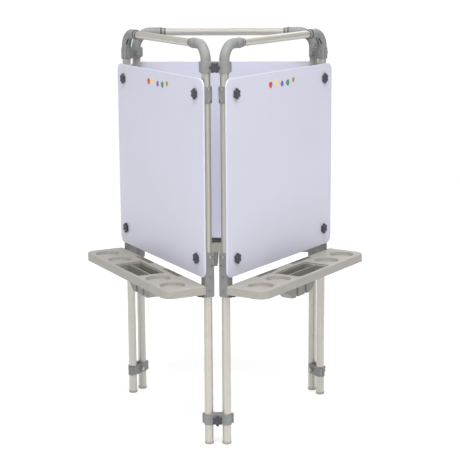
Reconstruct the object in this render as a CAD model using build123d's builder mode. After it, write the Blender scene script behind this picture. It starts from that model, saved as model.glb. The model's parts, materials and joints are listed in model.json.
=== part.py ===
from build123d import *
from math import cos, radians, sin, sqrt
import os

# A three-sided easel for children. Three alike upright frames stand on the sides of a
# triangle, and clamps join them in pairs at its three corners. Millimetres, +Z up. The
# origin is on the floor, under the middle of the easel's box.

# Posts and top bar
post_radius = 14.0
post_wall = 1.5
post_spacing = 618.0            # between the two posts of one frame
corner_gap = 57.4               # between the two posts that share a corner
foot_height = 8.0               # rim of the foot under the tube
foot_radius = 15.2
foot_round = 3.5
foot_plug = 20.0
post_top = 1238.0
bar_radius = 12.7
bar_wall = 1.5
bar_z = 1292.0

# Elbows between post and bar
elbow_radius = 16.0
elbow_bend = 52.0               # radius of the bend's centre line
elbow_bottom = 1204.0
elbow_arm = 102.0               # reach along the bar, from the post's axis
elbow_bore = 11.5               # hollow round the bend
elbow_rim = 0.7                 # raised ring where the arm grows slimmer
elbow_rim_length = 5.0
elbow_tip_length = 15.0         # slimmer end of the arm
elbow_tip_step = 1.2
elbow_tip_chamfer = 2.0
elbow_groove_width = 1.6        # parting groove where the bend ends
elbow_groove_depth = 1.0
elbow_tip_taper = 35.0          # of its chamfered end
elbow_stop = 4.0                # the bar's socket ends this far before the bend
elbow_slot_width = 4.5
elbow_slot_offset = 6.0
elbow_slot_depth = 7.0
elbow_slot_spread = 46.0        # degrees round the bend

# Drawing panel
panel_width = 670.0
panel_bottom = 558.0
panel_top = 1188.0
panel_corner = 25.0
panel_back = 18.0               # depth of its back face, outward from the posts' plane
panel_thickness = 6.0
panel_edge = 1.2

# Star knobs and their bolts
bolt_radius = 3.0
bolt_play = 0.1                 # between a turning knob and its bolt
bolt_hole = 3.3                 # clearance hole in a panel
bolt_reach = 6.0                # length of bolt inside a knob
bolt_head_radius = 5.6
bolt_head_height = 4.0
clamp_head_radius = 6.6
knob_gap = 0.3                  # between a knob and what it presses on
knob_hub_radius = 10.0
knob_hub_height = 1.5
knob_body_radius = 13.0
knob_lobes = 6
knob_lobe_circle = 12.4
knob_lobe_radius = 5.1
knob_grip_height = 6.5
knob_edge = 2.0
knob_u = 281.0                  # from the frame's middle
knob_heights = (615.0, 1139.0)
knob_start = {"panel": 30.0, "lower": 30.0, "upper": 0.0}       # where its first lobe points

# Brackets on the posts
tray_sleeve = 33.6
tray_sleeve_corner = 5.0
tray_sleeve_bottom = 493.0
tray_sleeve_top = 638.0
arm_width = 20.0
arm_reach = 42.0
arm_tip_height = 5.0
rib_thickness = 6.0
rib_u = 315.0
rib_start = 24.0                # behind the rib is the tray's back wall
rib_reach = 112.0
rib_lean = 22.0
panel_sleeve = 32.6
panel_sleeve_corner = 10.0
panel_sleeve_bottom = 1111.0
panel_sleeve_top = 1163.0
ear_thickness = 9.0
ear_half_height = 16.0
sleeve_edge = 1.5
screw_radius = 2.0
screw_head_radius = 3.6
screw_head_height = 2.2
tray_screw_heights = (512.0, 558.0, 596.0, 624.0)
panel_screw_heights = (1119.0, 1155.0)

# Tray
tray_width = 674.0
tray_back = 18.0
tray_front = 162.0
tray_bottom = 506.0
tray_top = 534.0
tray_wall = 3.0
tray_front_corner = 35.0
tray_back_corner = 6.0
tray_edge = 5.0
rim_edge = 1.2                  # round the wells, recesses and opening
well_radius = 41.0
well_depth = 11.0
well_taper = 12.0
well_wall = 2.5
well_depth_n = 105.0            # outward place of the wells
well_places = (-267.0, -159.0, 159.0, 267.0)
recess_length = 121.0
recess_width = 20.0
recess_corner = 4.0
recess_wall = 2.5
recess_depth = 16.0
recess_u = 110.5
recess_n = 31.0
opening_length = 200.0
opening_width = 97.0
opening_corner = 8.0
opening_n = 103.0
ledge_width = 3.0
ledge_top = 527.0
ledge_bottom = 521.0

# Insert that hangs in the tray's opening
insert_play = 2.0
insert_flange = 3.0
insert_wall = 2.0
insert_length = 176.0
insert_width = 88.0
insert_corner = 5.0
insert_floor = 505.0            # under its two compartments
insert_bottom = 444.0
divider_n = 100.5
divider_width = 5.0
middle_cell = (24.5, 20.5)      # half length above and below
side_cell = (31.0, 35.0)        # its inner side, above and below
side_cell_outer = 86.0
side_cell_slope = (468.0, 58.0)     # height and length where its sloping corner ends

# Corner clamps
clamp_split = 1.5               # half the gap between the two halves
clamp_wall = 2.2                # round what it grips
clamp_outer_height = 37.0
clamp_inner_height = 34.0
clamp_face = 22.5               # depth of the bosses for the bolt, from the posts' plane
clamp_boss_radius = 9.5
flange_length = 102.0           # of the flange along the back of an inner half
flange_start = 4.0
flange_end = 12.5
flange_height = 32.0
flange_corner = 2.0
clamp_web_rise = 5.0            # the outer half's web is shorter than its jaws
clamp_edge = 1.0
swing_play = 0.3                # round a post that turns in a clamp
mouth_angle = 33.0              # half angle of the open mouth
mouth_reach = 60.0
lower_clamp = 66.0
upper_clamp = 1204.0

# Worked out from the above
post_u = post_spacing / 2
frame_offset = (post_spacing + 2 * corner_gap) / (2 * sqrt(3))
corner_offset = post_u * cos(radians(30)) + frame_offset * sin(radians(30))
seat = corner_gap / 2
panel_front = panel_back + panel_thickness
panel_middle = (panel_bottom + panel_top) / 2
clamp_places = {                # middle height of a clamp, and radius of what it grips
    "lower": (lower_clamp + clamp_outer_height / 2, post_radius),
    "upper": (upper_clamp + clamp_outer_height / 2, elbow_radius),
}
tray_middle = (tray_back + tray_front) / 2
tray_depth = tray_front - tray_back
insert_back = opening_n - insert_width / 2
insert_front = opening_n + insert_width / 2
rear_reach = frame_offset + tray_front
front_reach = (
    frame_offset * sin(radians(30))
    + (tray_width / 2 - tray_front_corner) * cos(radians(30))
    + (tray_front - tray_front_corner) * sin(radians(30))
    + tray_front_corner
)
centre_y = (front_reach - rear_reach) / 2

# The frames are the rear one turned about the middle of the triangle, and the corners
# are a corner behind the middle turned in the same way.
frames = {"right": -120, "rear": 0, "left": 120}
corners = {"front": 180, "rear_right": -60, "rear_left": 60}
ends = {-1: "a", 1: "b"}

os.makedirs("parts", exist_ok=True)


def save(piece, name):
    piece.part.label = name
    export_step(piece.part, f"parts/{name}.step")


def level(turn, height, reach=frame_offset):
    """Horizontal work plane: x along the frame, y outward from the middle."""
    angle = radians(turn)
    return Plane(
        origin=(-reach * sin(angle), centre_y + reach * cos(angle), height),
        x_dir=(cos(angle), sin(angle), 0),
        z_dir=(0, 0, 1),
    )


def upright(turn, depth, reach=frame_offset):
    """Upright work plane that faces inward, at a depth outward: x along the frame, y up."""
    angle = radians(turn)
    return Plane(
        origin=(-(reach + depth) * sin(angle), centre_y + (reach + depth) * cos(angle), 0),
        x_dir=(cos(angle), sin(angle), 0),
        z_dir=(sin(angle), -cos(angle), 0),
    )


def across(turn, along):
    """Upright work plane square to the bar, at a place along it: x outward, y up."""
    angle = radians(turn)
    return Plane(
        origin=(
            along * cos(angle) - frame_offset * sin(angle),
            centre_y + along * sin(angle) + frame_offset * cos(angle),
            0,
        ),
        x_dir=(-sin(angle), cos(angle), 0),
        z_dir=(cos(angle), sin(angle), 0),
    )


def make_post(name, turn, side):
    with BuildPart() as post:
        with BuildSketch(level(turn, foot_height)):
            with Locations((side * post_u, 0)):
                Circle(post_radius)
                Circle(post_radius - post_wall, mode=Mode.SUBTRACT)
        extrude(amount=post_top - foot_height)
    save(post, name)


def make_feet(frame, turn):
    """Plugs in the posts' lower ends, each with a rounded rim under the tube."""
    with BuildPart() as feet:
        with BuildSketch(level(turn, 0)):
            with Locations((-post_u, 0), (post_u, 0)):
                Circle(foot_radius)
        extrude(amount=foot_height)
        fillet(feet.edges().group_by(Axis.Z)[0], radius=foot_round)
        with BuildSketch(level(turn, foot_height)):
            with Locations((-post_u, 0), (post_u, 0)):
                Circle(post_radius - post_wall)
        extrude(amount=foot_plug)
    save(feet, f"{frame}_feet")


def make_top_bar(frame, turn):
    bar_end = post_u - elbow_bend - elbow_stop
    with BuildPart() as top_bar:
        with BuildSketch(across(turn, -bar_end)):
            with Locations((0, bar_z)):
                Circle(bar_radius)
                Circle(bar_radius - bar_wall, mode=Mode.SUBTRACT)
        extrude(amount=2 * bar_end)
    save(top_bar, f"{frame}_top_bar")


def disc(plane, place, outer, inner=0.0):
    """A disc or a ring on a plane."""
    with BuildSketch(plane) as plan:
        with Locations(place):
            Circle(outer)
            if inner:
                Circle(inner, mode=Mode.SUBTRACT)
    return plan.sketch


def elbow_slot(turn, side, depth):
    """A sector of a ring that cuts into the bend's inner side, about the bend's diagonal."""
    reach = elbow_bend - elbow_radius
    middle = (side * (post_u - elbow_bend), bar_z - elbow_bend)
    rays = [radians(45 + lean * elbow_slot_spread / 2) for lean in (-1, 1)]
    far = [
        (middle[0] + side * 2 * reach * cos(ray), middle[1] + 2 * reach * sin(ray))
        for ray in rays
    ]
    with BuildSketch(upright(turn, depth + elbow_slot_width / 2)) as slot:
        with BuildLine():
            Polyline(middle, *far, close=True)
        make_face()
        with Locations(middle):
            Circle(reach + elbow_slot_depth, mode=Mode.INTERSECT)
            Circle(reach - elbow_slot_depth, mode=Mode.SUBTRACT)
    return slot.sketch


def make_elbows(frame, turn):
    """Moulded elbows: sockets for post and bar, a ring on the arm, two slots in the bend."""
    foot = level(turn, elbow_bottom)
    ring = elbow_radius + elbow_rim
    tip_radius = elbow_radius - elbow_tip_step
    with BuildPart() as elbows:
        for side in (-1, 1):
            post = (side * post_u, 0)
            bar = (0, bar_z)
            bend_end = side * (post_u - elbow_bend)
            tip = side * (post_u - elbow_arm)
            step = tip + side * elbow_tip_length
            cone = tip + side * elbow_tip_chamfer
            for radius, mode in ((elbow_radius, Mode.ADD), (elbow_bore, Mode.SUBTRACT)):
                with BuildLine(upright(turn, 0)):
                    FilletPolyline(
                        (post[0], elbow_bottom), (post[0], bar_z), (step, bar_z), radius=elbow_bend
                    )
                with BuildSketch(foot):
                    with Locations(post):
                        Circle(radius)
                sweep(mode=mode)
            extrude(disc(across(turn, step), bar, tip_radius), amount=cone - step)
            extrude(
                disc(across(turn, cone), bar, tip_radius), amount=tip - cone, taper=elbow_tip_taper
            )
            extrude(disc(across(turn, step), bar, ring), amount=side * elbow_rim_length)
            extrude(
                disc(across(turn, bend_end), bar, ring, elbow_radius - elbow_groove_depth),
                amount=-side * elbow_groove_width,
                mode=Mode.SUBTRACT,
            )
            extrude(
                disc(foot, post, post_radius), amount=post_top - elbow_bottom, mode=Mode.SUBTRACT
            )
            extrude(
                disc(across(turn, tip), bar, bar_radius),
                amount=bend_end - side * elbow_stop - tip,
                mode=Mode.SUBTRACT,
            )
            for depth in (elbow_slot_offset, -elbow_slot_offset):
                extrude(
                    elbow_slot(turn, side, depth), amount=elbow_slot_width, mode=Mode.SUBTRACT
                )
    save(elbows, f"{frame}_elbows")


def make_panel(frame, turn):
    with BuildPart() as panel:
        with BuildSketch(upright(turn, panel_front)):
            with Locations((0, panel_middle)):
                RectangleRounded(panel_width, panel_top - panel_bottom, panel_corner)
        extrude(amount=panel_thickness)
        for face in panel.faces().filter_by(Plane(origin=(0, 0, 0), z_dir=upright(turn, 0).z_dir)):
            fillet(face.edges(), radius=panel_edge)
        with BuildSketch(upright(turn, panel_front)):
            with Locations(*[(side * knob_u, z) for side in (-1, 1) for z in knob_heights]):
                Circle(bolt_hole)
        extrude(amount=panel_thickness, mode=Mode.SUBTRACT)
    save(panel, f"{frame}_panel")


def post_circles(turn, height, radius):
    with BuildSketch(level(turn, height)) as circles:
        with Locations((-post_u, 0), (post_u, 0)):
            Circle(radius)
    return circles.sketch


def screw_plan(turn, along, heights, radius):
    """Round screws above each other on a plane square to the bar."""
    with BuildSketch(across(turn, along)) as circles:
        with Locations(*[(0, z) for z in heights]):
            Circle(radius)
    return circles.sketch


def sleeve_plan(turn, height, size, corner):
    with BuildSketch(level(turn, height)) as sleeves:
        with Locations((-post_u, 0), (post_u, 0)):
            RectangleRounded(size, size, corner)
    return sleeves.sketch


def ear_plan(turn, middle):
    """Ears from both posts towards the middle of the frame, flush with the panel's back."""
    with BuildSketch(upright(turn, panel_back)) as ears:
        for side in (-1, 1):
            with Locations((side * (post_u + knob_u) / 2, middle)):
                Rectangle(post_u - knob_u, 2 * ear_half_height)
            with Locations((side * knob_u, middle)):
                Circle(ear_half_height)
                Circle(bolt_radius, mode=Mode.SUBTRACT)
    return ears.sketch


def make_panel_brackets(frame, turn):
    """Sleeves on the upper posts, each with an ear that the panel is bolted to."""
    sleeve_height = panel_sleeve_top - panel_sleeve_bottom
    with BuildPart() as brackets:
        extrude(
            sleeve_plan(turn, panel_sleeve_bottom, panel_sleeve, panel_sleeve_corner),
            amount=sleeve_height,
        )
        fillet(brackets.edges().group_by(Axis.Z)[0], radius=sleeve_edge)
        fillet(brackets.edges().group_by(Axis.Z)[-1], radius=sleeve_edge)
        extrude(ear_plan(turn, knob_heights[1]), amount=ear_thickness)
        extrude(
            post_circles(turn, panel_sleeve_bottom, post_radius),
            amount=sleeve_height,
            mode=Mode.SUBTRACT,
        )
        for side in (-1, 1):
            extrude(
                screw_plan(turn, side * post_u, panel_screw_heights, screw_radius),
                amount=side * panel_sleeve / 2,
                mode=Mode.SUBTRACT,
            )
    save(brackets, f"{frame}_panel_brackets")


def make_tray_brackets(frame, turn):
    """Tall sleeves on the posts, with an ear for the panel and an arm under the tray."""
    sleeve_height = tray_sleeve_top - tray_sleeve_bottom
    with BuildPart() as brackets:
        extrude(
            sleeve_plan(turn, tray_sleeve_bottom, tray_sleeve, tray_sleeve_corner),
            amount=sleeve_height,
        )
        fillet(brackets.edges().group_by(Axis.Z)[0], radius=sleeve_edge)
        fillet(brackets.edges().group_by(Axis.Z)[-1], radius=sleeve_edge)
        extrude(ear_plan(turn, knob_heights[0]), amount=ear_thickness)
        for side in (-1, 1):
            with BuildSketch(across(turn, side * post_u - arm_width / 2)):
                with BuildLine():
                    Polyline(
                        (post_radius, tray_bottom),
                        (post_radius, tray_sleeve_bottom),
                        (arm_reach * 0.6, tray_sleeve_bottom),
                        (arm_reach, tray_bottom - arm_tip_height),
                        (arm_reach, tray_bottom),
                        close=True,
                    )
                make_face()
            extrude(amount=arm_width)
            with BuildSketch(across(turn, side * rib_u - rib_thickness / 2)):
                with BuildLine():
                    Polyline(
                        (rib_start, tray_bottom),
                        (rib_reach, tray_bottom),
                        (rib_reach - rib_lean, tray_top - tray_wall),
                        (rib_start, tray_top - tray_wall),
                        close=True,
                    )
                make_face()
            extrude(amount=rib_thickness)
        extrude(
            post_circles(turn, tray_sleeve_bottom, post_radius),
            amount=sleeve_height,
            mode=Mode.SUBTRACT,
        )
        for side in (-1, 1):
            extrude(
                screw_plan(turn, side * post_u, tray_screw_heights, screw_radius),
                amount=side * tray_sleeve / 2,
                mode=Mode.SUBTRACT,
            )
    save(brackets, f"{frame}_tray_brackets")


def tray_outline(turn, height, inset):
    """The tray's plan at a height, pulled in all round by the inset."""
    with BuildSketch(level(turn, height)) as outline:
        with Locations((0, tray_middle)):
            Rectangle(tray_width - 2 * inset, tray_depth - 2 * inset)
        fillet(outline.vertices().group_by(Axis.Y)[-1], radius=tray_front_corner - inset)
        fillet(outline.vertices().group_by(Axis.Y)[0], radius=tray_back_corner - inset)
    return outline.sketch


def opening_plan(turn, height, inset):
    """The plan of the tray's middle opening, pulled in all round by the inset."""
    with BuildSketch(level(turn, height)) as plan:
        with Locations((0, opening_n)):
            RectangleRounded(
                opening_length - 2 * inset, opening_width - 2 * inset, opening_corner - inset
            )
    return plan.sketch


def make_tray(frame, turn):
    """A moulded shell, open below, with four wells, two recesses and a middle opening."""
    plate = tray_top - tray_wall
    wells = [(u, well_depth_n) for u in well_places]
    recesses = [(-recess_u, recess_n), (recess_u, recess_n)]
    with BuildPart() as tray:
        extrude(tray_outline(turn, tray_bottom, 0), amount=tray_top - tray_bottom)
        fillet(tray.edges().group_by(Axis.Z)[-1], radius=tray_edge)
        extrude(
            tray_outline(turn, tray_bottom, tray_wall),
            amount=plate - tray_bottom,
            mode=Mode.SUBTRACT,
        )
        with BuildSketch(level(turn, plate)):
            with Locations(*wells):
                Circle(well_radius + well_wall)
        extrude(amount=-well_depth, taper=well_taper)
        with BuildSketch(level(turn, tray_top)):
            with Locations(*wells):
                Circle(well_radius)
        extrude(amount=-well_depth, taper=well_taper, mode=Mode.SUBTRACT)
        with BuildSketch(level(turn, plate)):
            with Locations(*recesses):
                RectangleRounded(
                    recess_length + 2 * recess_wall,
                    recess_width + 2 * recess_wall,
                    recess_corner + recess_wall,
                )
        extrude(amount=-recess_depth)
        with BuildSketch(level(turn, tray_top)):
            with Locations(*recesses):
                RectangleRounded(recess_length, recess_width, recess_corner)
        extrude(amount=-recess_depth, mode=Mode.SUBTRACT)
        extrude(opening_plan(turn, plate, -tray_wall), amount=ledge_bottom - plate)
        extrude(
            opening_plan(turn, ledge_top, 0), amount=tray_top - ledge_top, mode=Mode.SUBTRACT
        )
        extrude(
            opening_plan(turn, ledge_bottom, ledge_width),
            amount=ledge_top - ledge_bottom,
            mode=Mode.SUBTRACT,
        )
        top_face = tray.faces().sort_by(Axis.Z)[-1]
        for wire in top_face.inner_wires():
            fillet(wire.edges(), radius=rim_edge)
    save(tray, f"{frame}_tray")


def cell_profile(turn, depth, wall, top):
    """The three cells seen from the front, up to a height, pulled in by the wall."""
    bottom = insert_bottom + wall
    slope_top, slope_end = side_cell_slope
    inner_top, inner_bottom = side_cell
    outer = side_cell_outer + insert_wall - wall
    with BuildSketch(upright(turn, depth)) as cells:
        with BuildLine():
            above, below = (length - wall for length in middle_cell)
            Polyline((-above, top), (above, top), (below, bottom), (-below, bottom), close=True)
        make_face()
        for side in (-1, 1):
            with BuildLine():
                Polyline(
                    (side * (inner_top + wall), top),
                    (side * outer, top),
                    (side * outer, slope_top + wall / 2),
                    (side * (slope_end - wall / 2), bottom),
                    (side * (inner_bottom + wall), bottom),
                    close=True,
                )
            make_face()
    return cells.sketch


def make_insert(frame, turn):
    """A lift-out insert: two long compartments, and three deep cells below the back one."""
    divider_back = divider_n - divider_width / 2
    divider_front = divider_n + divider_width / 2
    cells_front = divider_back + insert_wall
    inner_back = insert_back + insert_wall
    inner_front = insert_front - insert_wall
    rows = ((inner_back, divider_back), (divider_front, inner_front))
    floor = insert_floor + insert_wall
    rim = ledge_top + insert_flange
    with BuildPart() as insert:
        with BuildSketch(level(turn, ledge_top)):
            with Locations((0, opening_n)):
                RectangleRounded(
                    opening_length - 2 * insert_play,
                    opening_width - 2 * insert_play,
                    opening_corner - insert_play,
                )
        extrude(amount=insert_flange)
        with BuildSketch(level(turn, insert_floor)):
            with Locations((0, opening_n)):
                RectangleRounded(insert_length, insert_width, insert_corner)
        extrude(amount=ledge_top - insert_floor)
        extrude(
            cell_profile(turn, cells_front, 0, insert_floor), amount=cells_front - insert_back
        )
        for back, front in rows:
            with BuildSketch(level(turn, floor)):
                with Locations((0, (back + front) / 2)):
                    Rectangle(insert_length - 2 * insert_wall, front - back)
            extrude(amount=rim - floor, mode=Mode.SUBTRACT)
        extrude(
            cell_profile(turn, divider_back, insert_wall, floor),
            amount=divider_back - inner_back,
            mode=Mode.SUBTRACT,
        )
    save(insert, f"{frame}_tray_insert")


def make_fasteners(frame, turn):
    """Panel bolts with hexagon heads, and the screws of the brackets."""
    bolts = [(side * knob_u, z) for side in (-1, 1) for z in knob_heights]
    with BuildPart() as fasteners:
        with BuildSketch(upright(turn, panel_front + knob_gap + bolt_reach)):
            with Locations(*bolts):
                Circle(bolt_radius)
        extrude(amount=knob_gap + bolt_reach + panel_thickness + ear_thickness)
        with BuildSketch(upright(turn, panel_back - ear_thickness)):
            with Locations(*bolts):
                RegularPolygon(bolt_head_radius, 6)
        extrude(amount=bolt_head_height)
        for heights, size in (
            (tray_screw_heights, tray_sleeve),
            (panel_screw_heights, panel_sleeve),
        ):
            for side in (-1, 1):
                shank = side * (post_u + post_radius)
                head = side * (post_u + size / 2)
                extrude(screw_plan(turn, shank, heights, screw_radius), amount=head - shank)
                extrude(
                    screw_plan(turn, head, heights, screw_head_radius),
                    amount=side * screw_head_height,
                )
    save(fasteners, f"{frame}_fasteners")


def make_knob(name, face, place, start):
    """A star knob on a face that looks inward, so that the knob stands on its outer side."""
    with BuildPart() as knob:
        with BuildSketch(face.offset(-knob_gap)):
            with Locations(place):
                Circle(knob_hub_radius)
        extrude(amount=-knob_hub_height)
        with BuildSketch(face.offset(-knob_gap - knob_hub_height)):
            with Locations(place):
                Circle(knob_body_radius)
                with PolarLocations(knob_lobe_circle, knob_lobes, start_angle=start):
                    Circle(knob_lobe_radius)
        extrude(amount=-knob_grip_height)
        outward = -face.z_dir
        rim = knob.faces().sort_by(Axis(face.origin, outward))[-1]
        fillet(rim.edges(), radius=knob_edge)
        with BuildSketch(face.offset(-knob_gap)):
            with Locations(place):
                Circle(bolt_radius + bolt_play)
        extrude(amount=-bolt_reach - knob_gap, mode=Mode.SUBTRACT)
    save(knob, name)


def half_plan(turn, height, groove, outward):
    """Plan of one clamp half, on one side of the posts' plane."""
    reach = groove + clamp_wall
    with BuildSketch(level(turn, height, corner_offset)) as plan:
        SlotCenterToCenter(corner_gap, 2 * reach)
        with Locations((0, outward * (clamp_split - reach))):
            Rectangle(2 * corner_gap, 2 * reach, mode=Mode.SUBTRACT)
    return plan.sketch


def flange_plan(turn, height):
    """Plan of the flange along the back of an inner half."""
    with BuildSketch(level(turn, height, corner_offset)) as plan:
        with Locations((0, -(flange_start + flange_end) / 2)):
            RectangleRounded(flange_length, flange_end - flange_start, flange_corner)
    return plan.sketch


def seats_plan(turn, height, groove, seats):
    """Plan of a clamp's two seats.

    A seat with a mouth is open sideways, so that a post can leave it within the mouth's angle.
    """
    lean = radians(mouth_angle)
    with BuildSketch(level(turn, height, corner_offset)) as plan:
        for place, play, mouth in seats:
            radius = groove + play
            with Locations((place, 0)):
                Circle(radius)
            if mouth:
                away = -1 if place < 0 else 1
                near = place - away * radius * sin(lean)
                far = near + away * mouth_reach * cos(lean)
                rise = radius * cos(lean)
                spread = rise + mouth_reach * sin(lean)
                with BuildLine():
                    Polyline((near, rise), (far, spread), (far, -spread), (near, -rise), close=True)
                make_face()
    return plan.sketch


def make_clamps(corner, turn):
    """The upper and lower clamps of a corner: outer halves, inner halves and bolts."""
    seats = ((-seat, 0, False), (seat, swing_play, False))
    if corner == "rear_right":
        seats = ((-seat, swing_play, True), (seat, 0, False))
    bolts = [(0, middle) for middle, groove in clamp_places.values()]
    halves = (("outer", 1, clamp_outer_height), ("inner", -1, clamp_inner_height))
    for half, outward, height in halves:
        with BuildPart() as clamp:
            for middle, groove in clamp_places.values():
                extrude(half_plan(turn, middle - height / 2, groove, outward), amount=height)
            rims = clamp.edges().filter_by(Axis.Z, reverse=True)
            fillet(rims, radius=clamp_edge)
            if outward < 0:
                for middle, groove in clamp_places.values():
                    extrude(flange_plan(turn, middle - flange_height / 2), amount=flange_height)
            with BuildSketch(upright(turn, outward * clamp_face, corner_offset)):
                with Locations(*bolts):
                    Circle(clamp_boss_radius)
            extrude(amount=outward * (clamp_face - clamp_split))
            for middle, groove in clamp_places.values():
                cut = seats_plan(turn, middle - height / 2, groove, seats)
                extrude(cut, amount=height, mode=Mode.SUBTRACT)
                if outward > 0:
                    with BuildSketch(upright(turn, clamp_face, corner_offset)):
                        with Locations((0, middle - height / 2)):
                            RectangleRounded(
                                2 * (seat - groove), 2 * clamp_web_rise, clamp_web_rise / 2
                            )
                    extrude(amount=clamp_face, mode=Mode.SUBTRACT)
            with BuildSketch(upright(turn, clamp_face, corner_offset)):
                with Locations(*bolts):
                    Circle(bolt_radius)
            extrude(amount=2 * clamp_face, mode=Mode.SUBTRACT)
        save(clamp, f"{corner}_clamp_{half}_halves")
    with BuildPart() as clamp_bolts:
        with BuildSketch(upright(turn, clamp_face + knob_gap + bolt_reach, corner_offset)):
            with Locations(*bolts):
                Circle(bolt_radius)
        extrude(amount=2 * clamp_face + knob_gap + bolt_reach)
        with BuildSketch(upright(turn, -clamp_face, corner_offset)):
            with Locations(*bolts):
                RegularPolygon(clamp_head_radius, 6)
        extrude(amount=bolt_head_height)
    save(clamp_bolts, f"{corner}_clamp_bolts")


for frame, turn in frames.items():
    make_feet(frame, turn)
    make_top_bar(frame, turn)
    make_elbows(frame, turn)
    make_panel(frame, turn)
    make_panel_brackets(frame, turn)
    make_tray_brackets(frame, turn)
    make_tray(frame, turn)
    make_insert(frame, turn)
    make_fasteners(frame, turn)
    for side, end in ends.items():
        make_post(f"{frame}_post_{end}", turn, side)
        for height, tier in zip(knob_heights, ("lower", "upper")):
            place = (side * knob_u, height)
            face = upright(turn, panel_front)
            make_knob(f"{frame}_knob_{tier}_{end}", face, place, knob_start["panel"])

for corner, turn in corners.items():
    make_clamps(corner, turn)
    for tier, (middle, groove) in clamp_places.items():
        face = upright(turn, clamp_face, corner_offset)
        make_knob(f"{corner}_clamp_knob_{tier}", face, (0, middle), knob_start[tier])
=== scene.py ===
import json
import math

import bpy
from mathutils import Matrix, Vector


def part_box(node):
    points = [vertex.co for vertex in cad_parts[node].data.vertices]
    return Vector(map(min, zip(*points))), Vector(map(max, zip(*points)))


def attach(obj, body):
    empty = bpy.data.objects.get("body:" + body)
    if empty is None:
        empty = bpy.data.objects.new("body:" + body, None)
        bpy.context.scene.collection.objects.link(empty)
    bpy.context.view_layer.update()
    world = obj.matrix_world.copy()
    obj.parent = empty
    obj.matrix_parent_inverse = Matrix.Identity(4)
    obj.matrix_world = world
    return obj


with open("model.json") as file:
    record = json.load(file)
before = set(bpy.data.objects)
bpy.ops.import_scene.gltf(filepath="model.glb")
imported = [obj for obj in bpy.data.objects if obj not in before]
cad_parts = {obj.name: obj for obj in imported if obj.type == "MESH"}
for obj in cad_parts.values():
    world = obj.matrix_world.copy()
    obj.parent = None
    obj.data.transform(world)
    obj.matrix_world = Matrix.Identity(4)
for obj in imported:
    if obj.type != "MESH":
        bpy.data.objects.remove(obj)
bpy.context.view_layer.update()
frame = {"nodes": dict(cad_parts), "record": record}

# A three-sided children's easel. The CAD nodes carry their own shapes; this script gives
# them their materials and adds the details that are too fine for the CAD model.

record = frame["record"]
nodes = frame["nodes"]
node_body = {n: b for b, names in record["behaviour"]["bodies"].items() for n in names}
node_slot = {s["node"]: s["material_slot"] for s in record["subparts"]}
SIDES = ("left", "rear", "right")
MM = 0.001
TURN_STEPS = 40                 # facets round a turned piece

# The camera, in metres and radians
LENS = 114.89                   # focal length on a 36 mm wide sensor
CAMERA_PLACE = (0.2648, -4.8667, 1.6327)
CAMERA_YAW = -0.04883
CAMERA_PITCH = 0.20051
CAMERA_ROLL = 0.00645

# The studio
BACKDROP = 1.02                 # strength of the plain white behind everything
SURROUND = 0.64                 # strength of the light from all round
# brightness of the surround from left to right, and from the front to the back
STREAKS = (
    (-1.0, 1.0), (-0.9, 1.25), (-0.72, 1.25), (-0.58, 0.7), (-0.1, 0.75),
    (0.15, 1.2), (0.62, 1.25), (0.8, 0.8), (1.0, 0.75),
)
DEPTHS = ((-1.0, 1.0), (-0.05, 1.0), (0.35, 0.62), (1.0, 0.58))
# name, place, what it points at, size, watts, whether shiny surfaces mirror it
LAMPS = (
    ("key", (-2.6, -3.6, 3.4), (0.0, 0.0, 0.75), 2.2, 14.0, True),
    ("fill", (3.2, -3.0, 2.0), (0.0, 0.0, 0.75), 2.4, 8.0, True),
    ("back", (0.4, 3.6, 2.8), (0.0, 0.0, 0.75), 2.4, 24.0, True),
    ("over", (0.1, -1.5, 3.9), (0.0, 0.25, 0.9), 2.4, 140.0, False),
)
FLOOR_REACH = 5.0
FLOOR_SHADE = 0.45
FLOOR_GLOW = 0.7

# Colours of fittings, fasteners and tubes
GREY = (0.240, 0.244, 0.238)
ZINC = (0.55, 0.55, 0.56)
TUBE = (0.56, 0.538, 0.486)
BRIGHT_SCREWS_FROM = 0.61       # height in metres; the brackets' screws below are dark

# Pieces added on the frames, in millimetres: along from the frame's middle, up from the
# floor, out from the posts' plane
STEP_ALONG = 221.3              # where an elbow's slim end starts
MOUTH_ALONG = 206.9             # where the bar enters the elbow
SHADE_DOT_OUT = -7.5                 # the dark dots of painted shade sit this far behind the posts' plane
TRAY_SLEEVE = 16.8              # half widths of the two kinds of bracket
PANEL_SLEEVE = 16.2
SHADE_DOT_ROWS = (
    (596.0, TRAY_SLEEVE), (624.0, TRAY_SLEEVE), (1119.0, PANEL_SLEEVE), (1155.0, PANEL_SLEEVE),
)
# outline of a pad of painted shadow, out and up
PAD_OUTLINE = ((19.0, 496.5), (38.5, 496.5), (39.5, 497.5), (39.5, 505.6), (19.0, 505.6))
PAD_MIDDLE = (30.0, 504.5)      # its end slices shrink towards this
PAD_HALF = 11.2
PAD_EDGE = 0.4

# Paint dabs
DAB_ORDER = ("red", "yellow", "violet", "leaf", "ochre")
DAB_COLOURS = {
    "red": (0.60, 0.05, 0.05),
    "yellow": (0.88, 0.68, 0.08),
    "violet": (0.22, 0.10, 0.45),
    "leaf": (0.04, 0.28, 0.12),
    "ochre": (0.45, 0.24, 0.07),
}
DAB_SIZES = (10.5, 8.6, 9.6)
DAB_SPACING = 36.0
DAB_RISE = 9.0                  # of the row above the upper knobs
DAB_WAVE = 4.0                  # of the row, up and down


# ---------------------------------------------------------------- camera, lights, floor


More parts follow.
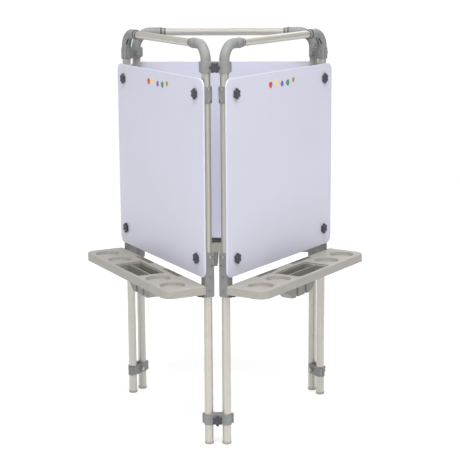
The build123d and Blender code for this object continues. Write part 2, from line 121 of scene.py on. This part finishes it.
def make_camera():
    """The viewpoint: a long lens, nearly straight in front, a little above the top bars."""
    lens = bpy.data.cameras.new("camera")
    lens.sensor_width = 36.0
    lens.lens = LENS
    lens.clip_end = 60.0
    camera = bpy.data.objects.new("camera", lens)
    bpy.context.scene.collection.objects.link(camera)
    level = math.cos(CAMERA_PITCH)
    ahead = Vector((
        math.sin(CAMERA_YAW) * level, math.cos(CAMERA_YAW) * level, -math.sin(CAMERA_PITCH),
    ))
    side = Vector((math.cos(CAMERA_YAW), -math.sin(CAMERA_YAW), 0.0))
    down = ahead.cross(side)
    right = side * math.cos(CAMERA_ROLL) + down * math.sin(CAMERA_ROLL)
    up = side * math.sin(CAMERA_ROLL) - down * math.cos(CAMERA_ROLL)
    turn = Matrix((right, up, -ahead)).transposed()
    camera.matrix_world = Matrix.Translation(CAMERA_PLACE) @ turn.to_4x4()
    bpy.context.scene.camera = camera


def make_light(name, place, target, size, watts, mirrored):
    lamp = bpy.data.lights.new(name, "AREA")
    lamp.shape = "SQUARE"
    lamp.size = size
    lamp.energy = watts
    light = bpy.data.objects.new(name, lamp)
    bpy.context.scene.collection.objects.link(light)
    light.location = place
    light.visible_glossy = mirrored
    aim = Vector(target) - Vector(place)
    light.rotation_euler = aim.to_track_quat("-Z", "Y").to_euler()


def make_studio():
    """A pale surround with a few soft streaks in it, darker behind, and four soft lamps."""
    world = bpy.data.worlds.new("studio")
    bpy.context.scene.world = world
    world.use_nodes = True
    tree = world.node_tree
    white = tree.nodes["Background"]
    white.inputs["Color"].default_value = (1.0, 1.0, 1.0, 1.0)
    white.inputs["Strength"].default_value = BACKDROP
    around = tree.nodes.new("ShaderNodeBackground")
    around.inputs["Strength"].default_value = SURROUND
    place = tree.nodes.new("ShaderNodeTexCoord")
    parts = tree.nodes.new("ShaderNodeSeparateXYZ")
    tree.links.new(place.outputs["Generated"], parts.inputs["Vector"])
    tints = []
    for axis, stops in (("X", STREAKS), ("Y", DEPTHS)):
        spread = tree.nodes.new("ShaderNodeMapRange")
        spread.inputs["From Min"].default_value = -1.0
        tree.links.new(parts.outputs[axis], spread.inputs["Value"])
        shades = tree.nodes.new("ShaderNodeValToRGB")
        ramp = shades.color_ramp
        for position, level in stops[1:-1]:
            ramp.elements.new((position + 1.0) / 2.0).color = (level, level, level, 1.0)
        ramp.elements[0].color = (stops[0][1],) * 3 + (1.0,)
        ramp.elements[-1].color = (stops[-1][1],) * 3 + (1.0,)
        tree.links.new(spread.outputs["Result"], shades.inputs["Fac"])
        tints.append(shades.outputs["Color"])
    both = tree.nodes.new("ShaderNodeVectorMath")
    both.operation = "MULTIPLY"
    tree.links.new(tints[0], both.inputs[0])
    tree.links.new(tints[1], both.inputs[1])
    tree.links.new(both.outputs["Vector"], around.inputs["Color"])
    seen = tree.nodes.new("ShaderNodeLightPath")
    mix = tree.nodes.new("ShaderNodeMixShader")
    tree.links.new(seen.outputs["Is Camera Ray"], mix.inputs["Fac"])
    tree.links.new(around.outputs["Background"], mix.inputs[1])
    tree.links.new(white.outputs["Background"], mix.inputs[2])
    tree.links.new(mix.outputs["Shader"], tree.nodes["World Output"].inputs["Surface"])
    for lamp in LAMPS:
        make_light(*lamp)


def make_floor():
    """A wide pale floor that glows a little, so that it stays as white as the backdrop."""
    mesh = bpy.data.meshes.new("floor")
    signs = ((-1, -1), (1, -1), (1, 1), (-1, 1))
    corners = [(x * FLOOR_REACH, y * FLOOR_REACH, 0) for x, y in signs]
    mesh.from_pydata(corners, [], [(0, 1, 2, 3)])
    floor = bpy.data.objects.new("floor", mesh)
    bpy.context.scene.collection.objects.link(floor)
    material = bpy.data.materials.new("floor")
    material.use_nodes = True
    shader = material.node_tree.nodes["Principled BSDF"]
    shader.inputs["Base Color"].default_value = (FLOOR_SHADE,) * 3 + (1.0,)
    shader.inputs["Roughness"].default_value = 0.9
    shader.inputs["Specular IOR Level"].default_value = 0.1
    shader.inputs["Emission Color"].default_value = (1.0, 1.0, 1.0, 1.0)
    shader.inputs["Emission Strength"].default_value = FLOOR_GLOW
    mesh.materials.append(material)


# ---------------------------------------------------------------- materials


class Nodes:
    """Short calls for building a material's node tree."""

    def __init__(self, name):
        self.material = bpy.data.materials.new(name)
        self.material.use_nodes = True
        self.tree = self.material.node_tree
        self.shader = self.tree.nodes["Principled BSDF"]
        self.place = self.new("ShaderNodeTexCoord").outputs["Object"]

    def new(self, kind, **settings):
        node = self.tree.nodes.new(kind)
        for key, value in settings.items():
            setattr(node, key, value)
        return node

    def link(self, start, end):
        self.tree.links.new(start, end)

    def stretched(self, scale):
        mapping = self.new("ShaderNodeMapping")
        mapping.inputs["Scale"].default_value = scale
        self.link(self.place, mapping.inputs["Vector"])
        return mapping.outputs["Vector"]

    def noise(self, scale, detail=4.0, roughness=0.55, place=None):
        noise = self.new("ShaderNodeTexNoise")
        noise.inputs["Scale"].default_value = scale
        noise.inputs["Detail"].default_value = detail
        noise.inputs["Roughness"].default_value = roughness
        self.link(place or self.place, noise.inputs["Vector"])
        return noise.outputs["Fac"]

    def ramp(self, value, low, high, out_low, out_high):
        ramp = self.new("ShaderNodeMapRange")
        ramp.inputs["From Min"].default_value = low
        ramp.inputs["From Max"].default_value = high
        ramp.inputs["To Min"].default_value = out_low
        ramp.inputs["To Max"].default_value = out_high
        self.link(value, ramp.inputs["Value"])
        return ramp.outputs["Result"]

    def mix(self, factor, colour_a, colour_b):
        """Colour a where the factor is 0, colour b where it is 1; either may be a socket."""
        mix = self.new("ShaderNodeMix", data_type="RGBA")
        self.link(factor, mix.inputs["Factor"])
        for name, colour in (("A", colour_a), ("B", colour_b)):
            socket = [s for s in mix.inputs if s.name == name and s.type == "RGBA"][0]
            if isinstance(colour, tuple):
                socket.default_value = (*colour, 1.0)
            else:
                self.link(colour, socket)
        return [s for s in mix.outputs if s.type == "RGBA"][0]

    def bump(self, height, strength, distance, below=None):
        bump = self.new("ShaderNodeBump")
        bump.inputs["Strength"].default_value = strength
        bump.inputs["Distance"].default_value = distance
        self.link(height, bump.inputs["Height"])
        if below is not None:
            self.link(below, bump.inputs["Normal"])
        return bump.outputs["Normal"]

    def finish(self, colour, roughness, normal):
        self.link(colour, self.shader.inputs["Base Color"])
        self.link(roughness, self.shader.inputs["Roughness"])
        self.link(normal, self.shader.inputs["Normal"])
        return self.material


def shade(colour, factor):
    return tuple(min(1.0, c * factor) for c in colour)


def tube_metal(name, colour, along):
    """Satin anodised tube: fine drawing lines along it, faint clouding, a few scuffs, and long
    darker streaks that are painted reflection.
    """
    n = Nodes(name)
    n.shader.inputs["Metallic"].default_value = 0.5
    lines = n.noise(1.0, 2.0, 0.5, n.stretched(tuple(1.5 if a else 600.0 for a in along)))
    painted_reflection_streaks = n.noise(1.0, 1.0, 0.5, n.stretched(tuple(0.25 if a else 150.0 for a in along)))
    cloud = n.noise(8.0, 3.0)
    scuffs = n.noise(1.0, 4.0, 0.6, n.stretched(tuple(5.0 if a else 260.0 for a in along)))
    tint = n.mix(n.ramp(cloud, 0.3, 0.7, 0.0, 1.0), shade(colour, 0.975), shade(colour, 1.02))
    # painted reflection: long darker streaks along the tube stand in for the surroundings it
    # mirrors
    tint = n.mix(n.ramp(painted_reflection_streaks, 0.38, 0.62, 0.5, 0.0), tint, shade(colour, 0.74))
    tint = n.mix(n.ramp(lines, 0.35, 0.7, 0.0, 0.2), tint, shade(colour, 0.9))
    rough = n.ramp(scuffs, 0.35, 0.75, 0.27, 0.35)
    return n.finish(tint, rough, n.bump(lines, 0.03, 0.00003))


def moulded_plastic(name, colour, roughness, grain=2600.0, spark=0.22, sheen=0.5):
    """Moulded plastic: a fine spark-eroded grain, faint flow marks and handling wear."""
    n = Nodes(name)
    n.shader.inputs["Specular IOR Level"].default_value = sheen
    grains = n.noise(grain, 2.0, 0.5)
    flow = n.noise(26.0, 4.0, 0.6)
    wear = n.noise(140.0, 5.0, 0.65)
    tint = n.mix(n.ramp(flow, 0.3, 0.7, 0.0, 1.0), shade(colour, 0.955), shade(colour, 1.04))
    tint = n.mix(n.ramp(grains, 0.4, 0.75, 0.0, 0.3), tint, shade(colour, 0.85))
    rough = n.ramp(wear, 0.3, 0.7, roughness - 0.06, roughness + 0.08)
    under = n.bump(flow, 0.08, 0.0006)
    return n.finish(tint, rough, n.bump(grains, spark, 0.00012, under))


def panel_plastic(name, colour):
    """Smooth wipe-clean board: faint ripple, faint clouding, fine wiping marks."""
    n = Nodes(name)
    n.shader.inputs["Specular IOR Level"].default_value = 0.45
    cloud = n.noise(3.2, 2.0, 0.5)
    ripple = n.noise(55.0, 2.0, 0.5)
    wipes = n.noise(1.0, 4.0, 0.7, n.stretched((30.0, 30.0, 260.0)))
    tint = n.mix(n.ramp(cloud, 0.3, 0.7, 0.0, 1.0), shade(colour, 0.985), shade(colour, 1.012))
    rough = n.ramp(wipes, 0.35, 0.7, 0.30, 0.42)
    fine = n.bump(wipes, 0.03, 0.00003)
    return n.finish(tint, rough, n.bump(ripple, 0.05, 0.00025, fine))


def steel(name, colour, bright_from):
    """Zinc plated steel with a fine random brushing; darker below a height in metres."""
    n = Nodes(name)
    n.shader.inputs["Metallic"].default_value = 1.0
    brush = n.noise(1.0, 3.0, 0.6, n.stretched((900.0, 900.0, 2600.0)))
    cloud = n.noise(90.0, 3.0)
    tint = n.mix(n.ramp(cloud, 0.3, 0.7, 0.0, 1.0), shade(colour, 0.9), shade(colour, 1.05))
    parts = n.new("ShaderNodeSeparateXYZ")
    n.link(n.place, parts.inputs["Vector"])
    height = n.ramp(parts.outputs["Z"], bright_from - 0.005, bright_from, 0.0, 1.0)
    tint = n.mix(height, shade(colour, 0.5), tint)
    rough = n.ramp(brush, 0.3, 0.7, 0.26, 0.42)
    return n.finish(tint, rough, n.bump(brush, 0.15, 0.00004))


def paint_nodes():
    """A material on every CAD node, by its slot; tubes have theirs along their own length."""
    finishes = {
        "fitting_plastic": moulded_plastic("fitting_plastic", GREY, 0.52, sheen=0.42),
        "knob_plastic": moulded_plastic("knob_plastic", (0.048, 0.048, 0.058), 0.42),
        "panel_board": panel_plastic("panel_board", (0.605, 0.605, 0.712)),
        "tray_plastic": moulded_plastic("tray_plastic", (0.362, 0.342, 0.312), 0.5),
        "insert_plastic": moulded_plastic("insert_plastic", (0.262, 0.256, 0.23), 0.52),
        "foot_plastic": moulded_plastic("foot_plastic", (0.36, 0.35, 0.33), 0.55),
        "fastener_steel": steel("fastener_steel", ZINC, BRIGHT_SCREWS_FROM),
    }
    clamp_steel = steel("clamp_steel", ZINC, 0.0)
    upright = tube_metal("tube_upright", TUBE, (False, False, True))
    # painted light: the lying bars get a copy of the tube finish made 1.08 times lighter, for
    # how the light falls on them
    lying = tube_metal("tube_lying_painted_lighter", shade(TUBE, 1.08), (True, True, False))
    for name, obj in nodes.items():
        slot = node_slot[name]
        if slot == "tube":
            material = lying if name.endswith("top_bar") else upright
        elif name.endswith("clamp_bolts"):
            material = clamp_steel
        else:
            material = finishes[slot]
        obj.data.materials.clear()
        obj.data.materials.append(material)


# ---------------------------------------------------------------- added pieces


def joint_of(name):
    return [j for j in record["behaviour"]["joints"] if j["name"] == name][0]


def add_piece(name, mesh, body):
    piece = bpy.data.objects.new(name, mesh)
    bpy.context.scene.collection.objects.link(piece)
    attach(piece, body)


def ring_faces(rings, count, closed_below=True):
    """Faces that join rings of count vertices each, and close the first and the last."""
    faces = []
    for ring in range(rings - 1):
        for step in range(count):
            a = ring * count + step
            b = ring * count + (step + 1) % count
            faces.append((a, b, b + count, a + count))
    if closed_below:
        faces.append(tuple(range(count - 1, -1, -1)))
    faces.append(tuple((rings - 1) * count + step for step in range(count)))
    return faces


def turned_profile(points):
    """Vertices and faces of a profile of (radius, height) turned about its axis."""
    verts = []
    for radius, height in points:
        for step in range(TURN_STEPS):
            angle = 2 * math.pi * step / TURN_STEPS
            verts.append((radius * math.cos(angle), radius * math.sin(angle), height))
    return verts, ring_faces(len(points), TURN_STEPS)


def turned_parts(turns, material, name, body):
    """One piece made of several turned profiles, each as (origin, axes, profile in mm)."""
    verts = []
    faces = []
    for origin, axes, profile in turns:
        points, cells = turned_profile([(r * MM, h * MM) for r, h in profile])
        start = len(verts)
        verts += [origin + axes @ Vector(point) for point in points]
        faces += [tuple(start + i for i in cell) for cell in cells]
    mesh = bpy.data.meshes.new(name)
    mesh.from_pydata(verts, [], faces)
    mesh.shade_smooth()
    mesh.materials.append(material)
    add_piece(name, mesh, body)


def outward_axes(axis):
    """Matrix columns for a piece that stands on an upright face: along, up, outward."""
    out = Vector(axis).normalized()
    up = Vector((0.0, 0.0, 1.0))
    return Matrix((up.cross(out), up, out)).transposed()


def make_knob_caps(material):
    """A dished cap with a raised rim in the middle of every star knob."""
    profile = [
        (7.0, -0.6), (7.0, 0.35), (6.8, 0.6), (6.3, 0.7), (5.8, 0.55),
        (5.5, 0.2), (4.6, 0.12), (3.0, 0.3), (1.2, 0.42), (0.3, 0.45),
    ]
    for name in sorted(nodes):
        if node_slot[name] != "knob_plastic":
            continue
        joint = joint_of(name + "_turn")
        axes = outward_axes(joint["axis"])
        start = Vector(joint["pos_m"])
        out = axes.col[2]
        reach = max((v.co - start).dot(out) for v in nodes[name].data.vertices)
        turns = [(start + out * reach, axes, profile)]
        turned_parts(turns, material, name + "_cap", node_body[name])


def splat(size, phase, steps=48):
    """A dab of paint: an uneven round outline, domed, on its own plane."""
    rings = ((1.0, 0.0), (0.985, 0.22), (0.93, 0.38), (0.78, 0.47), (0.45, 0.5))
    verts = []
    for scale, height in rings:
        for step in range(steps):
            angle = 2 * math.pi * step / steps
            lobes = 0.07 * math.sin(3 * angle + phase)
            ripple = 0.045 * math.sin(5 * angle - 2 * phase)
            radius = size * scale * (1.0 + lobes + ripple)
            verts.append((radius * math.cos(angle), radius * math.sin(angle), height))
    return verts, ring_faces(len(rings), steps, closed_below=False)


def make_paint_dots():
    """An uneven row of five coloured paint dabs near the top of each panel's outer face."""
    inks = {
        name: moulded_plastic("ink_" + name, colour, 0.38, 900.0, 0.05)
        for name, colour in DAB_COLOURS.items()
    }
    names = sorted(inks)
    for side in SIDES:
        low = Vector(joint_of(side + "_knob_upper_a_turn")["pos_m"])
        high = Vector(joint_of(side + "_knob_upper_b_turn")["pos_m"])
        axes = outward_axes(joint_of(side + "_knob_upper_a_turn")["axis"])
        face = max((v.co - low).dot(axes.col[2]) for v in nodes[side + "_panel"].data.vertices)
        middle = (low + high) / 2 + axes.col[2] * face
        mesh = bpy.data.meshes.new(side + "_panel_paint_dots")
        verts = []
        faces = []
        fill = []
        for place, colour in enumerate(DAB_ORDER):
            along = (place - len(DAB_ORDER) // 2) * DAB_SPACING
            rise = DAB_RISE + DAB_WAVE * math.sin(place * 1.9)
            points, cells = splat(DAB_SIZES[place % len(DAB_SIZES)], place * 1.7)
            start = len(verts)
            for x, y, z in points:
                spot = Vector(((along + x) * MM, (rise + y) * MM, z * MM))
                verts.append(middle + axes @ spot)
            faces += [tuple(start + i for i in cell) for cell in cells]
            fill += [names.index(colour)] * len(cells)
        mesh.from_pydata(verts, [], faces)
        for name in names:
            mesh.materials.append(inks[name])
        mesh.polygons.foreach_set("material_index", fill)
        mesh.shade_smooth()
        add_piece(side + "_panel_paint_dots", mesh, node_body[side + "_panel"])


def box_middle(name):
    low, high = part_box(name)
    return (Vector(low) + Vector(high)) / 2


def frame_place(side):
    """A frame's middle on the floor, in its posts' plane, and its axes along, up and out."""
    middle = (box_middle(side + "_post_a") + box_middle(side + "_post_b")) / 2
    middle.z = 0.0
    return middle, outward_axes(joint_of(side + "_knob_lower_a_turn")["axis"])


def post_along(side):
    """How far a frame's posts stand from its middle, in millimetres."""
    apart = box_middle(side + "_post_b") - box_middle(side + "_post_a")
    return apart.length / 2 / MM


def make_shadow_rings(material):
    """Dark rings of painted shadow where each elbow's slim end starts, and where the bar
    enters it.
    """
    step = [(14.2, -3.0), (15.5, -3.0), (15.9, -2.6), (15.9, 0.7), (14.2, 0.7)]
    mouth = [(12.2, -2.2), (13.6, -2.2), (14.1, -1.7), (13.9, 0.6), (12.2, 0.8)]
    for side in SIDES:
        middle, axes = frame_place(side)
        along, up, out = axes.col
        bar_height = box_middle(side + "_top_bar").z
        turns = []
        for end in (-1.0, 1.0):
            lying = Matrix((up * end, out, along * end)).transposed()
            for reach, profile in ((STEP_ALONG, step), (MOUTH_ALONG, mouth)):
                origin = middle + along * end * reach * MM + up * bar_height
                turns.append((origin, lying, profile))
        turned_parts(turns, material, side + "_elbow_shadow_rings", side + "_frame")


def make_shade_dots(material):
    """Small dark domes beside the screws on the end faces of the post brackets: painted shade
    for the recesses there.
    """
    dome = [(2.3, -0.6), (2.3, 0.25), (2.0, 0.55), (1.3, 0.75), (0.3, 0.8)]
    for side in SIDES:
        middle, axes = frame_place(side)
        along, up, out = axes.col
        post_place = post_along(side)
        turns = []
        for end in (-1.0, 1.0):
            facing = Matrix((out, up * end, along * end)).transposed()
            for height, sleeve in SHADE_DOT_ROWS:
                spot = along * end * (post_place + sleeve) + up * height + out * SHADE_DOT_OUT
                turns.append((middle + spot * MM, facing, dome))
        turned_parts(turns, material, side + "_bracket_shade_dots", side + "_frame")


def make_shadow_pads(material):
    """Dark pads of painted shadow on the bracket arms, under the tray's back corners."""
    slices = (
        (-PAD_HALF, PAD_EDGE), (-PAD_HALF + PAD_EDGE, 0.0),
        (PAD_HALF - PAD_EDGE, 0.0), (PAD_HALF, PAD_EDGE),
    )
    for side in SIDES:
        middle, axes = frame_place(side)
        along, up, out = axes.col
        post_place = post_along(side)
        verts = []
        faces = []
        for end in (-1.0, 1.0):
            start = len(verts)
            for across, inset in slices:
                for depth, height in PAD_OUTLINE:
                    depth += inset if depth < PAD_MIDDLE[0] else -inset
                    height += inset if height < PAD_MIDDLE[1] else -inset
                    spot = along * (end * post_place + across) + out * depth + up * height
                    verts.append(middle + spot * MM)
            cells = ring_faces(len(slices), len(PAD_OUTLINE))
            faces += [tuple(start + i for i in cell) for cell in cells]
        mesh = bpy.data.meshes.new(side + "_tray_shadow_pads")
        mesh.from_pydata(verts, [], faces)
        mesh.materials.append(material)
        add_piece(side + "_tray_shadow_pads", mesh, side + "_frame")


bpy.context.scene.view_settings.view_transform = "Standard"
make_camera()
make_studio()
make_floor()
paint_nodes()
make_knob_caps(moulded_plastic("knob_cap", (0.07, 0.07, 0.082), 0.55, sheen=0.25))
make_paint_dots()
# painted shadow: one near-black material for the rings, dots and pads that stand in for shade
painted_shadow_black = moulded_plastic("painted_shadow_black", (0.035, 0.035, 0.037), 0.6, 700.0, 0.1)
make_shadow_rings(painted_shadow_black)
make_shade_dots(painted_shadow_black)
make_shadow_pads(painted_shadow_black)
